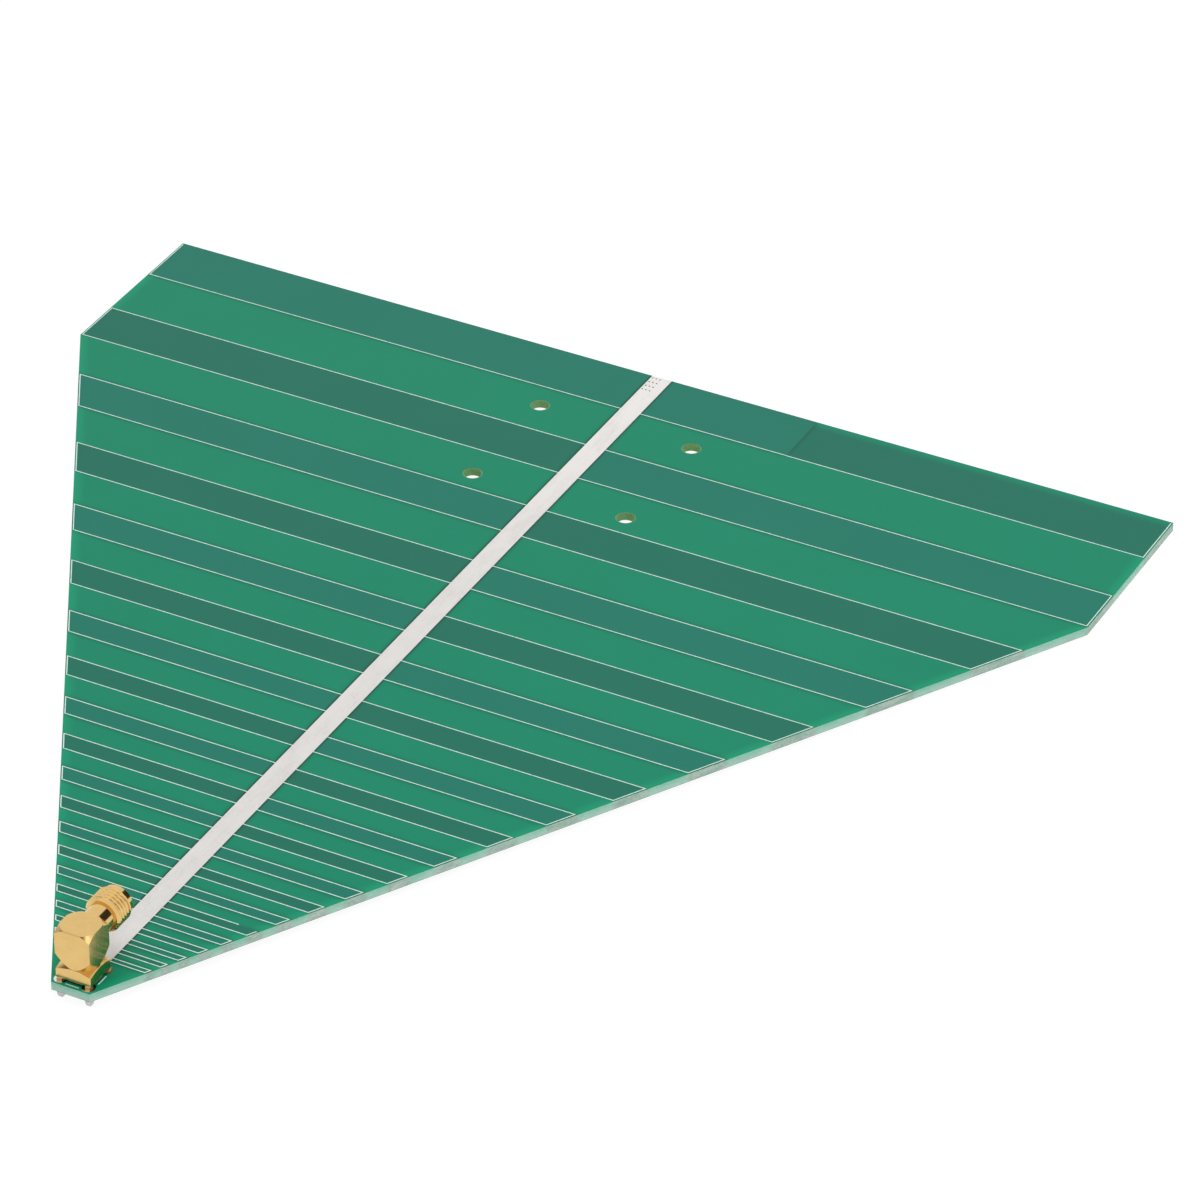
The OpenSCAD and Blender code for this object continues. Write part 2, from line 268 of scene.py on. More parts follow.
class Graph:
    """The nodes of one material or world."""

    def __init__(self, owner: bpy.types.Material | bpy.types.World) -> None:
        """Starts with an empty node tree.

        Args:
            owner: the material or world that the nodes belong to.
        """
        owner.use_nodes = True
        self.tree = owner.node_tree
        self.tree.nodes.clear()

    def node(self, kind: str, settings: dict | None = None, inputs: dict | None = None) -> bpy.types.Node:
        """Adds any node.

        Args:
            kind: Blender's name of the node's type.
            settings: the node's own properties, which are set first.
            inputs: socket names or numbers, with a value or a link for each.

        Returns:
            The new node.
        """
        made = self.tree.nodes.new(kind)
        for name, setting in (settings or {}).items():
            setattr(made, name, setting)
        for key, value in (inputs or {}).items():
            socket = made.inputs[key]
            if isinstance(value, Value):
                value = value.socket
            if isinstance(value, bpy.types.NodeSocket):
                self.tree.links.new(value, socket)
            elif socket.type == "RGBA" and len(value) == 3:
                socket.default_value = (*value, 1.0)
            else:
                socket.default_value = value
        return made

    def math(self, operation: str, *terms: Number) -> Value:
        """Adds a Math node.

        Args:
            operation: the node's operation.
            terms: its one or two operands.

        Returns:
            The result.
        """
        made = self.node("ShaderNodeMath", {"operation": operation}, dict(enumerate(terms)))
        return Value(self, made.outputs[0])

    def mix(self, share: Number, first: Tint, second: Tint) -> bpy.types.NodeSocket:
        """Blends two colours.

        Args:
            share: how much of the second colour shows, from 0 to 1.
            first: the colour at 0.
            second: the colour at 1.

        Returns:
            The blended colour's socket.
        """
        made = self.node("ShaderNodeMix", {"data_type": "RGBA"}, {0: share, 6: first, 7: second})
        return made.outputs[2]

    def bright(self, colour: Tint, level: Number) -> bpy.types.NodeSocket:
        """Multiplies a colour's brightness by a level."""
        return self.node("ShaderNodeHueSaturation", {}, {"Value": level, "Color": colour}).outputs["Color"]

    def place(self) -> tuple[Value, Value, Value]:
        """Reads the place on the piece.

        Returns:
            Object coordinates in millimetres, as three values.
        """
        spot = self.node("ShaderNodeTexCoord").outputs["Object"]
        axes = self.node("ShaderNodeSeparateXYZ", {}, {0: spot})
        return tuple(Value(self, axis) * (1 / MM) for axis in axes.outputs)

    def grain(self, cells: Grain) -> Value:
        """Noise with cells of a given size.

        Args:
            cells: the lengths of the cells and their finer noise.

        Returns:
            Noise from about 0 to 1.
        """
        spot = self.node("ShaderNodeTexCoord").outputs["Object"]
        scale = tuple(1 / (MM * length) for length in cells.size)
        laid = self.node("ShaderNodeMapping", {}, {"Vector": spot, "Scale": scale}).outputs["Vector"]
        inputs = {"Vector": laid, "Scale": 1.0, "Detail": cells.detail, "Roughness": cells.rough}
        return Value(self, self.node("ShaderNodeTexNoise", {}, inputs).outputs[0])

    def rings(self, distance: Value, pitch: float) -> Value:
        """Uneven lathe marks along a distance.

        Args:
            distance: the value across which the marks follow each other, in millimetres.
            pitch: the usual width of a mark in millimetres.

        Returns:
            Noise from about 0 to 1 that changes only with the distance.
        """
        settings = {"noise_dimensions": "1D"}
        inputs = {"W": distance, "Scale": 1 / pitch, "Detail": 2.0}
        return Value(self, self.node("ShaderNodeTexNoise", settings, inputs).outputs[0])

    def bump(self, height: Value, depth: float) -> bpy.types.NodeSocket:
        """Turns a height into a normal.

        Args:
            height: relief from 0 to 1.
            depth: depth of the full relief in millimetres.

        Returns:
            The normal's socket.
        """
        inputs = {"Strength": 1.0, "Distance": depth * MM, "Height": height}
        return self.node("ShaderNodeBump", {}, inputs).outputs["Normal"]


@dataclass(frozen=True)
class BoardPlan:
    """Sizes of the board in millimetres, as the solids have them."""

    board_w: float = 198.0
    tip_w: float = 7.0
    taper: float = math.radians(30)
    rear_l: float = 36.1
    rear_y: float = 30.55
    board_t: float = 1.6
    tau: float = 0.8813
    apex_lead: float = 9.33
    first_setback: float = 6.5
    element_ratio: float = 0.0578
    element_rim: float = 0.2
    element_count: int = 20
    boom_w: float = 3.9
    stub_reach: float = 30.7
    jack_setback: float = 3.95
    earth_half: float = 3.115
    hole_dx: float = 30.0
    hole_dy: float = 25.0
    hole_r: float = 1.6

    @property
    def tip_y(self) -> float:
        """Place of the tip edge."""
        return self.rear_y - self.rear_l - (self.board_w - self.tip_w) / 2 / math.tan(self.taper)

    @property
    def feed_y(self) -> float:
        """Place of the feed pin."""
        return self.tip_y + self.jack_setback

    @property
    def apex_y(self) -> float:
        """Place of the point that the element lengths shrink towards."""
        return self.tip_y - self.apex_lead

    @property
    def first_r(self) -> float:
        """Distance of the longest element from the apex."""
        return self.rear_y - self.first_setback - self.apex_y


class CopperPattern:
    """The etched pattern as shader values, from the same log-periodic rule as the solids."""

    # Least distance from the apex in millimetres, which keeps the logarithm real.
    LEAST_REACH = 0.1

    def __init__(self, graph: Graph, plan: BoardPlan) -> None:
        """Reads the place on the board and works out what both faces share.

        The element number is the logarithm, to the base tau, of the distance from the apex over the
        longest element's. Its nearest whole number gives the element's middle line. The longest element
        runs on to the rear edge.

        Args:
            graph: the material's nodes.
            plan: the sizes of the board.
        """
        self.plan = plan
        self.x, self.y, self.z = graph.place()
        reach = (self.y - plan.apex_y).most(self.LEAST_REACH)
        number = round(graph.math("LOGARITHM", reach / plan.first_r, plan.tau))
        self.number = number.least(plan.element_count - 1).most(0)
        middle = plan.first_r * plan.tau**self.number
        beside = abs((reach - middle).least(self.number * plan.board_w))
        self.past_edge = beside - middle * (plan.element_ratio / 2)
        self.right = self.x > 0
        self.swapped = (self.number + self.right) % 2
        room = plan.tip_w / 2 + (self.y - plan.tip_y) * math.tan(plan.taper) - abs(self.x)
        sides = (room * math.cos(plan.taper)).least(plan.board_w / 2 - abs(self.x))
        self.inside = sides.least(plan.rear_y - self.y).least(self.y - plan.tip_y)

    def copper(self, face: Face, blur: float) -> Value:
        """Share of copper on one face.

        Args:
            face: the face that carries the copper.
            blur: width over which an edge fades, in millimetres.

        Returns:
            1 on copper and 0 elsewhere.
        """
        plan = self.plan
        half = blur / 2
        band = self.past_edge.rise(half, -half)
        band = band * self.inside.rise(plan.element_rim - half, plan.element_rim + half)
        mine = self.swapped < 0.5 if face is Face.TOP else self.swapped > 0.5
        boom = abs(self.x).rise(plan.boom_w / 2 + half, plan.boom_w / 2 - half)
        boom = boom * (self.y - plan.feed_y).rise(-half, half)
        if face is Face.TOP:
            stub = self.right * (self.number < 0.5)
            stub = stub * self.x.rise(plan.stub_reach + half, plan.stub_reach - half)
            return (band * mine.most(stub)).most(boom)
        patch = abs(self.x).most(abs(self.y - plan.feed_y))
        patch = patch.rise(plan.earth_half + half, plan.earth_half - half)
        return (band * mine).most(boom).most(patch)


@dataclass(frozen=True)
class Finish:
    """A finish of one of the record's material slots. Its lengths are in millimetres."""

    name: str

    def surface(self, graph: Graph) -> Sockets:
        """Values and links of the surface shader's sockets, which each finish gives."""
        raise NotImplementedError

    def material(self) -> bpy.types.Material:
        """Makes the material.

        Returns:
            A material with one surface shader.
        """
        made = bpy.data.materials.new(self.name)
        graph = Graph(made)
        shader = graph.node("ShaderNodeBsdfPrincipled", {}, self.surface(graph))
        graph.node("ShaderNodeOutputMaterial", {}, {"Surface": shader.outputs["BSDF"]})
        return made


@dataclass(frozen=True)
class GreenLacquer(Finish):
    """Green lacquer, darker over copper, through which the far face's copper shows softly."""

    face: Face
    plan: BoardPlan
    bare: Colour = (0.003, 0.240, 0.130)
    over_copper: Colour = (0.010, 0.186, 0.128)
    over_far_copper: Colour = (0.011, 0.160, 0.106)
    rim_light: Colour = (0.006, 0.320, 0.165)
    # Dark tone of pooled lacquer and painted shade, beside copper and the tin strip.
    pooled_lacquer_and_shade: Colour = (0.003, 0.083, 0.053)
    near_blur: float = 0.1
    far_blur: float = 1.0
    far_rear_fade: Span = (0.1, 2.4)
    rim_reach: Span = (2.2, 0.1)
    rim_off_copper: Span = (-0.2, 0.6)
    rim_share: float = 0.75
    seam_reach: Span = (0.9, 0.1)
    seam_start: Span = (-0.1, 0.1)
    seam_falloff: int = 3
    pool_and_shade_blur: float = 2.4
    clouds: Grain = Grain((24.0, 24.0, 24.0), 2.0)
    cloud_range: float = 0.09
    peel: Grain = Grain((1.6, 1.6, 1.6), 2.0)
    peel_depth: float = 0.004
    peel_rough: float = 0.08
    weave_pitch: float = 0.92
    weave_range: float = 0.012
    rough: float = 0.31
    copper_smooth: float = 0.02
    specular: float = 0.13

    def surface(self, graph: Graph) -> Sockets:
        """Paints both copper patterns, light from the cut edge, a dark band beside copper that is partly thick lacquer
        and partly painted shade, and the weave.

        Args:
            graph: the material's nodes.

        Returns:
            The shader's values and links.
        """
        pattern = CopperPattern(graph, self.plan)
        near = pattern.copper(self.face, self.near_blur)
        far = pattern.copper(self.face.other, self.far_blur)
        far = far * (self.plan.rear_y - pattern.y).rise(*self.far_rear_fade)
        cloud = graph.grain(self.clouds)
        peel = graph.grain(self.peel)
        weave = pattern.x.wave(self.weave_pitch) * pattern.y.wave(self.weave_pitch)
        colour = graph.mix(far, self.bare, self.over_far_copper)
        colour = graph.mix(near, colour, self.over_copper)
        lit = pattern.inside.rise(*self.rim_reach) * pattern.past_edge.rise(*self.rim_off_copper)
        colour = graph.mix(lit * (1 - near) * self.rim_share, colour, self.rim_light)
        # Painted shade, partly pooled lacquer: a dark seam beside the tin strip and a soft dark band beside near
        # copper.
        seam = (abs(pattern.x) - self.plan.boom_w / 2).rise(*self.seam_reach) ** self.seam_falloff
        seam = seam * (pattern.y - self.plan.feed_y).rise(*self.seam_start)
        pool_and_shade = pattern.copper(self.face, self.pool_and_shade_blur) * (1 - near)
        colour = graph.mix(pool_and_shade.most(seam), colour, self.pooled_lacquer_and_shade)
        level = 1 - self.cloud_range / 2 + cloud * self.cloud_range
        level = level + weave * (self.weave_range * (1 - near))
        return {
            "Base Color": graph.bright(colour, level),
            "Roughness": self.rough + peel * self.peel_rough - near * self.copper_smooth,
            "Specular IOR Level": self.specular,
            "Normal": graph.bump(peel, self.peel_depth),
        }


@dataclass(frozen=True)
class CutLaminate(Finish):
    """Cut edge of glass and resin: chalky fibre ends, minty beside bare lacquer, olive in the holes."""

    plan: BoardPlan
    resin: Colour = (0.325, 0.55, 0.455)
    fibre: Colour = (0.69, 0.77, 0.685)
    mint: Colour = (0.22, 0.80, 0.57)
    pale_mint: Colour = (0.54, 0.92, 0.76)
    drilled: Colour = (0.20, 0.44, 0.10)
    drilled_fibre: Colour = (0.33, 0.54, 0.33)
    drilled_rim: Colour = (0.15, 0.32, 0.18)
    layer_pitch: float = 0.21
    layer_share: float = 0.12
    ends: Grain = Grain((0.55, 0.55, 0.16), 4.0, 0.65)
    end_share: float = 1.3
    end_depth: float = 0.05
    end_rough: float = 0.2
    chalk: Grain = Grain((3.2, 3.2, 1.0), 2.0)
    chalk_share: float = 0.9
    fibre_bias: float = 0.75
    fibre_step: Span = (0.05, 0.85)
    hole_margin: Span = (0.5, 0.4)
    mint_off_copper: Span = (-0.4, 0.8)
    mint_share: float = 0.5
    mint_height: Span = (0.2, 1.5)
    drilled_rim_step: Span = (0.66, 0.73)
    rough: float = 0.62
    specular: float = 0.3

    def surface(self, graph: Graph) -> Sockets:
        """Breaks thin layers into fibre ends, lets light in from above, and changes inside the holes.

        Args:
            graph: the material's nodes.

        Returns:
            The shader's values and links.
        """
        pattern = CopperPattern(graph, self.plan)
        x, y, z = pattern.x, pattern.y, pattern.z
        layers = z.wave(self.layer_pitch) * 0.5 + 0.5
        ends = graph.grain(self.ends)
        chalk = graph.grain(self.chalk)
        shown = ends * self.end_share + layers * self.layer_share + chalk * self.chalk_share
        shown = (shown - self.fibre_bias).rise(*self.fibre_step)
        away_x = abs(x) - self.plan.hole_dx / 2
        away_y = abs(y) - self.plan.hole_dy / 2
        away = (away_x * away_x + away_y * away_y) ** 0.5
        outside, inside = (self.plan.hole_r + margin for margin in self.hole_margin)
        in_hole = away.rise(outside, inside)
        lit = pattern.past_edge.rise(*self.mint_off_copper) * self.mint_share
        tint = graph.mix(z.rise(*self.mint_height), self.pale_mint, self.mint)
        edge = graph.mix(lit, graph.mix(shown, self.resin, self.fibre), tint)
        rim = abs(z - self.plan.board_t / 2).rise(*self.drilled_rim_step)
        wall = graph.mix(rim, graph.mix(shown, self.drilled, self.drilled_fibre), self.drilled_rim)
        return {
            "Base Color": graph.mix(in_hole, edge, wall),
            "Roughness": self.rough + ends * self.end_rough,
            "Specular IOR Level": self.specular,
            "Normal": graph.bump(ends, self.end_depth),
        }


@dataclass(frozen=True)
class EtchedCopper(Finish):
    """Copper foil, seen only where its cut edge shows."""

    bright_tone: Colour = (0.76, 0.40, 0.24)
    dull_tone: Colour = (0.55, 0.27, 0.16)
    mottle: Grain = Grain((0.8, 0.8, 0.8))
    mottle_depth: float = 0.005
    mottle_rough: float = 0.2
    rough: float = 0.3

    def surface(self, graph: Graph) -> Sockets:
        """Mottles the foil between bright and dull copper.

        Args:
            graph: the material's nodes.

        Returns:
            The shader's values and links.
        """
        mottle = graph.grain(self.mottle)
        return {
            "Base Color": graph.mix(mottle, self.dull_tone, self.bright_tone),
            "Metallic": 1.0,
            "Roughness": self.rough + mottle * self.mottle_rough,
            "Normal": graph.bump(mottle, self.mottle_depth),
        }


@dataclass(frozen=True)
class LevelledTin(Finish):
    """Tin levelled by hot air: pale, slightly wavy, with grey mottling along the strip."""

    pale: Colour = (0.865, 0.842, 0.82)
    grey: Colour = (0.75, 0.726, 0.70)
    clouds: Grain = Grain((2.6, 7.0, 2.6))
    cloud_share: float = 0.8
    cloud_relief: float = 0.4
    crystals: Grain = Grain((0.35, 0.35, 0.35), 3.0, 0.7)
    crystal_share: float = 0.5
    crystal_relief: float = 0.6
    crystal_rough: float = 0.2
    streaks: Grain = Grain((0.25, 6.0, 0.25), 2.0)
    streak_share: float = 0.35
    grey_bias: float = 0.45
    grey_step: Span = (0.25, 0.75)
    # Painted sheen that brightens the tin towards the rear.
    front_level: float = 0.92
    rear_sheen_gain: float = 0.10
    gain_y: Span = (-60.0, 25.0)
    relief_depth: float = 0.018
    metallic: float = 0.75
    rough: float = 0.36

    def surface(self, graph: Graph) -> Sockets:
        """Mixes broad clouds, fine crystals and streaks that run along the boom, and brightens the tin towards the
        rear as a painted sheen.

        Args:
            graph: the material's nodes.

        Returns:
            The shader's values and links.
        """
        clouds = graph.grain(self.clouds)
        crystals = graph.grain(self.crystals)
        streaks = graph.grain(self.streaks)
        dull = clouds * self.cloud_share + crystals * self.crystal_share + streaks * self.streak_share
        dull = (dull - self.grey_bias).rise(*self.grey_step)
        # Painted sheen: the tin grows brighter towards the rear.
        level = self.front_level + self.rear_sheen_gain * graph.place()[1].rise(*self.gain_y)
        relief = crystals * self.crystal_relief + clouds * self.cloud_relief
        return {
            "Base Color": graph.bright(graph.mix(dull, self.pale, self.grey), level),
            "Metallic": self.metallic,
            "Roughness": self.rough + crystals * self.crystal_rough,
            "Normal": graph.bump(relief, self.relief_depth),
        }


@dataclass(frozen=True)
class PadTin(Finish):
    """Wetted tin of the pads, which mirrors the legs that stand in it."""

    bright_tone: Colour = (0.80, 0.78, 0.75)
    dull_tone: Colour = (0.68, 0.66, 0.63)
    flow: Grain = Grain((0.7, 0.7, 0.7), 2.0)
    flow_depth: float = 0.02
    flow_rough: float = 0.08
    rough: float = 0.10

    def surface(self, graph: Graph) -> Sockets:
        """Leaves faint flow marks on a smooth skin.

        Args:
            graph: the material's nodes.

        Returns:
            The shader's values and links.
        """
        flow = graph.grain(self.flow)
        return {
            "Base Color": graph.mix(flow, self.dull_tone, self.bright_tone),
            "Metallic": 1.0,
            "Roughness": self.rough + flow * self.flow_rough,
            "Normal": graph.bump(flow, self.flow_depth),
        }


@dataclass(frozen=True)
class ViaTin(Finish):
    """Plating of the narrow vias, less metallic and painted darker down the wall as shade in the narrow hole, with a
    bright rim at both faces.
    """

    plan: BoardPlan
    rim: Colour = (0.62, 0.60, 0.57)
    # Painted shade: the darker wall down the narrow hole.
    inside: Colour = (0.34, 0.34, 0.32)
    rim_step: Span = (0.02, 0.14)
    stain: Grain = Grain((0.2, 0.2, 0.2))
    stain_depth: float = 0.01
    stain_rough: float = 0.3
    metallic: float = 0.75
    rough: float = 0.45

    def surface(self, graph: Graph) -> Sockets:
        """Darkens the wall a little way down from each face, as painted shade in the narrow hole.

        Args:
            graph: the material's nodes.

        Returns:
            The shader's values and links.
        """
        stain = graph.grain(self.stain)
        z = graph.place()[2]
        half = self.plan.board_t / 2
        depth = (half - abs(z - half)).rise(*self.rim_step)
        return {
            "Base Color": graph.mix(depth, self.rim, self.inside),
            "Metallic": self.metallic - depth * self.metallic,
            "Roughness": self.rough + stain * self.stain_rough,
            "Normal": graph.bump(stain, self.stain_depth),
        }


@dataclass(frozen=True)
class WhitePrint(Finish):
    """Screen-printed ink: chalky white that the green lacquer tints where it is thin."""

    thick: Colour = (0.74, 0.90, 0.83)
    thin: Colour = (0.48, 0.74, 0.63)
    cover: Grain = Grain((0.5, 0.5, 0.5), 3.0, 0.6)
    cover_step: Span = (0.25, 0.6)
    cover_depth: float = 0.006
    cover_rough: float = 0.2
    rough: float = 0.5
    specular: float = 0.3

    def surface(self, graph: Graph) -> Sockets:
        """Thins the ink in small uneven patches.

        Args:
            graph: the material's nodes.

        Returns:
            The shader's values and links.
        """
        cover = graph.grain(self.cover)
        return {
            "Base Color": graph.mix(cover.rise(*self.cover_step), self.thin, self.thick),
            "Roughness": self.rough + cover * self.cover_rough,
            "Specular IOR Level": self.specular,
            "Normal": graph.bump(cover, self.cover_depth),
        }


@dataclass(frozen=True)
class GoldPlate(Finish):
    """Gold over turned brass, with fine lathe marks, a painted dark reflection along the head's front edge and
    solder-dulled leg tips.
    """

    turning: Turning
    plan: BoardPlan
    rough: float
    gold: Colour = (0.755, 0.515, 0.200)
    deep: Colour = (0.71, 0.47, 0.172)
    soldered: Colour = (0.56, 0.55, 0.53)
    # Painted reflection: dark tone of the head's front top edge.
    painted_edge_reflection: Colour = (0.46, 0.30, 0.105)
    head_front: float = 2.95
    head_top: float = 11.35
    edge_reflection_down: Span = (0.42, 0.05)
    edge_reflection_back: Span = (0.30, 0.05)
    edge_reflection_share: float = 0.45
    mark_pitch: float = 0.16
    mark_depth: float = 0.004
    mark_rough: float = 0.06
    haze: Grain = Grain((1.8, 1.8, 1.8))
    haze_step: Span = (0.3, 0.7)
    haze_share: float = 0.6
    haze_rough: float = 0.06
    solder_z: Span = (0.1, -0.2)
    solder_rough: float = 0.25

    def surface(self, graph: Graph) -> Sockets:
        """Runs lathe marks round the piece's axis, paints a dark reflection along the head's front edge and greys the
        leg tips.

        Args:
            graph: the material's nodes.

        Returns:
            The shader's values and links.
        """
        x, y, z = graph.place()
        along = y - self.plan.feed_y
        distance = (x * x + along * along) ** 0.5 if self.turning is Turning.FEED else y
        marks = graph.rings(distance, self.mark_pitch)
        haze = graph.grain(self.haze)
        under = z.rise(*self.solder_z)
        plated = graph.mix(haze.rise(*self.haze_step) * self.haze_share, self.gold, self.deep)
        # Painted reflection: a dark line along the front top edge of the head.
        edge = (self.head_top - z).rise(*self.edge_reflection_down)
        edge = edge * (along + self.head_front).rise(*self.edge_reflection_back)
        plated = graph.mix(edge * self.edge_reflection_share, plated, self.painted_edge_reflection)
        rough = self.rough + marks * self.mark_rough + haze * self.haze_rough
        return {
            "Base Color": graph.mix(under, plated, self.soldered),
            "Metallic": 1.0,
            "Roughness": rough + under * self.solder_rough,
            "Normal": graph.bump(marks, self.mark_depth),
        }


@dataclass(frozen=True)
class WaxyPlastic(Finish):
    """White turned plastic of the insulators."""

    white: Colour = (0.84, 0.84, 0.81)
    shade: Colour = (0.72, 0.72, 0.69)
    clouds: Grain = Grain((0.9, 0.9, 0.9))
    cloud_step: Span = (0.3, 0.8)
    cloud_rough: float = 0.15
    mark_pitch: float = 0.2
    mark_depth: float = 0.006
    rough: float = 0.38
    specular: float = 0.4

    def surface(self, graph: Graph) -> Sockets:
        """Clouds the white faintly and leaves fine turning marks on it.

        Args:
            graph: the material's nodes.

        Returns:
            The shader's values and links.
        """
        cloud = graph.grain(self.clouds)
        marks = graph.rings(graph.place()[1], self.mark_pitch)
        return {
            "Base Color": graph.mix(cloud.rise(*self.cloud_step), self.white, self.shade),
            "Roughness": self.rough + cloud * self.cloud_rough,
            "Specular IOR Level": self.specular,
            "Normal": graph.bump(marks, self.mark_depth),
        }


@dataclass(frozen=True)
class Solder(Finish):
    """Satin solder of the joints under the board."""

    shine: Colour = (0.66, 0.65, 0.63)
    dull: Colour = (0.45, 0.45, 0.44)
    frost: Grain = Grain((0.45, 0.45, 0.45), 4.0, 0.65)
    frost_step: Span = (0.3, 0.7)
    frost_depth: float = 0.03
    frost_rough: float = 0.22
    metallic: float = 0.9
    rough: float = 0.29

    def surface(self, graph: Graph) -> Sockets:
        """Mixes frosted and shiny patches.

        Args:
            graph: the material's nodes.

        Returns:
            The shader's values and links.
        """
        frost = graph.grain(self.frost)
        return {
            "Base Color": graph.mix(frost.rise(*self.frost_step), self.shine, self.dull),
            "Metallic": self.metallic,
            "Roughness": self.rough + frost * self.frost_rough,
            "Normal": graph.bump(frost, self.frost_depth),
        }


@dataclass
class Board:
    """The etched board: every solid stays and gets its finish."""

    plan: BoardPlan = field(default_factory=BoardPlan)

    def finishes(self) -> dict[str, Finish]:
        """Finish of each node.

        Returns:
            Node names with their finishes.
        """
        tin = LevelledTin("tin")
        pad = PadTin("pad_tin")
        copper = EtchedCopper("copper")
        return {
            "laminate": CutLaminate("glass_epoxy", self.plan),
            "top_copper": copper,
            "bottom_copper": copper,
            "top_solder_mask": GreenLacquer("green_lacquer_top", Face.TOP, self.plan),
            "bottom_solder_mask": GreenLacquer("green_lacquer_bottom", Face.BOTTOM, self.plan),
            "top_boom_tin": tin,
            "bottom_boom_tin": tin,
            "boom_end_vias": ViaTin("via_tin", self.plan),
            "leg_hole_plating": pad,
            "feed_hole_plating": pad,
            "top_legend": WhitePrint("white_print"),
        }


@dataclass
class Jack:
    """The right-angle jack: its solids stay, and a threaded barrel stands for the plain one.

    Lengths are in millimetres, and stations along the barrel are counted from the feed pin's axis.
    """

    plan: BoardPlan = field(default_factory=BoardPlan)
    axis_z: float = 8.95
    barrel_root: float = 2.95
    barrel_front: float = 11.05
    thread_r: float = 3.175
    thread_l: float = 4.05
    thread_bevel: float = 0.4
    thread_pitch: float = 0.7056
    thread_depth: float = 0.36
    flank_slope: float = 2.6
    crest_drop: float = 0.18
    fade_pitches: float = 0.25
    pilot_r: float = 2.7
    pilot_l: float = 0.95
    pilot_bevel: float = 0.15
    neck_r: float = 2.4
    tail_r: float = 1.95
    tail_end: float = 2.07
    mouth_r: float = 2.3
    mouth_depth: float = 1.9
    seat_r: float = 2.05
    waist_r: float = 1.5
    waist_end: float = 3.55
    columns: int = 144
    thread_rows: int = 90
    sharp: float = math.radians(32)
    body_rough: float = 0.15
    barrel_rough: float = 0.06

    def finishes(self) -> dict[str, Finish]:
        """Finish of each node that stays.

        Returns:
            Node names with their finishes.
        """
        gold = GoldPlate("gold_plate_body", Turning.FEED, self.plan, self.body_rough)
        plastic = WaxyPlastic("white_plastic")
        solder = Solder("solder")
        return {
            "jack_body": gold,
            "centre_contact": gold,
            "feed_pin": gold,
            "barrel_insulator": plastic,
            "pin_insulator": plastic,
            "leg_solder": solder,
            "feed_solder": solder,
        }

    def barrel_finish(self) -> Finish:
        """Finish of the threaded barrel."""
        return GoldPlate("gold_plate_barrel", Turning.BARREL, self.plan, self.barrel_rough)

    def profile(self) -> np.ndarray:
        """Closed outline of the barrel's wall, without its thread.

        Returns:
            Rows of station along the barrel and radius, in millimetres, from the tail round to the inside.
        """
        end = self.barrel_front - self.pilot_l
        start = end - self.thread_l
        floor = self.barrel_front - self.mouth_depth
        front_bevel = self.thread_r - self.pilot_r
        stations = np.linspace(start + self.thread_bevel, end - front_bevel, self.thread_rows)
        thread = np.column_stack([stations, np.full(self.thread_rows, self.thread_r)])
        before = [
            (self.tail_end, self.waist_r),
            (self.tail_end, self.tail_r),
            (self.barrel_root, self.tail_r),
            (self.barrel_root, self.neck_r),
            (start, self.neck_r),
            (start, self.thread_r - self.thread_bevel),
        ]
        after = [
            (end, self.pilot_r),
            (self.barrel_front - self.pilot_bevel, self.pilot_r),
            (self.barrel_front, self.pilot_r - self.pilot_bevel),
            (self.barrel_front, self.mouth_r),
            (floor, self.mouth_r),
            (floor, self.seat_r),
            (self.waist_end, self.seat_r),
            (self.waist_end, self.waist_r),
        ]
        return np.vstack([before, thread, after])

    def barrel(self) -> bpy.types.Object:
        """Builds the threaded barrel as a profile carried round its axis.

        A point's radius is the profile's, less the depth of the thread times a trapezoid wave of the
        station less one pitch for each turn. The groove fades out towards both ends of the thread.

        Returns:
            The barrel's object.
        """
        outline = self.profile()
        station, radius = outline[:, 0][:, None], outline[:, 1][:, None]
        turn = np.linspace(0, 2 * math.pi, self.columns, endpoint=False)[None, :]
        phase = np.mod(station / self.thread_pitch - turn / (2 * math.pi), 1.0)
        groove = np.clip(self.flank_slope * np.abs(phase - 0.5) - self.crest_drop, 0.0, 1.0)
        on_thread = np.isclose(radius, self.thread_r)
        first, last = station[on_thread].min(), station[on_thread].max()
        from_end = np.minimum(station - first, last - station)
        fade = np.clip(from_end / (self.fade_pitches * self.thread_pitch), 0.0, 1.0)
        cut = radius - self.thread_depth * groove * fade * on_thread
        x = cut * np.sin(turn)
        y = self.plan.feed_y + station + 0 * turn
        z = self.axis_z + cut * np.cos(turn)
        return closed_sweep("threaded_barrel", np.stack([x, y, z], axis=-1) * MM, self.sharp)


def closed_sweep(name: str, grid: np.ndarray, sharp: float) -> bpy.types.Object:
    """Makes a mesh from a grid of points that closes on itself in both directions.

    Each face joins a point to the next one down, the next one across and the one between them.

    Args:
        name: the object's name.
        grid: rows by columns of points in metres.
        sharp: angle over which an edge stays sharp.

    Returns:
        The new object, at the origin.
    """
    rows, columns = grid.shape[:2]
    index = np.arange(rows * columns).reshape(rows, columns)
    down = np.roll(index, -1, axis=0)
    across = np.roll(index, -1, axis=1)
    corner = np.roll(down, -1, axis=1)
    quads = np.stack([index, down, corner, across], axis=-1).reshape(-1, 4)
    mesh = bpy.data.meshes.new(name)
    mesh.from_pydata(grid.reshape(-1, 3).tolist(), [], quads.tolist())
    mesh.polygons.foreach_set("use_smooth", np.ones(len(quads), dtype=bool))
    mesh.set_sharp_from_angle(angle=sharp)
    made = bpy.data.objects.new(name, mesh)
    bpy.context.scene.collection.objects.link(made)
    return made


def paint(piece: bpy.types.Object, material: bpy.types.Material) -> None:
    """Leaves a piece with one material.

    Args:
        piece: the object to dress.
        material: its only material.
    """
    slots = piece.data.materials
    slots.clear()
    slots.append(material)


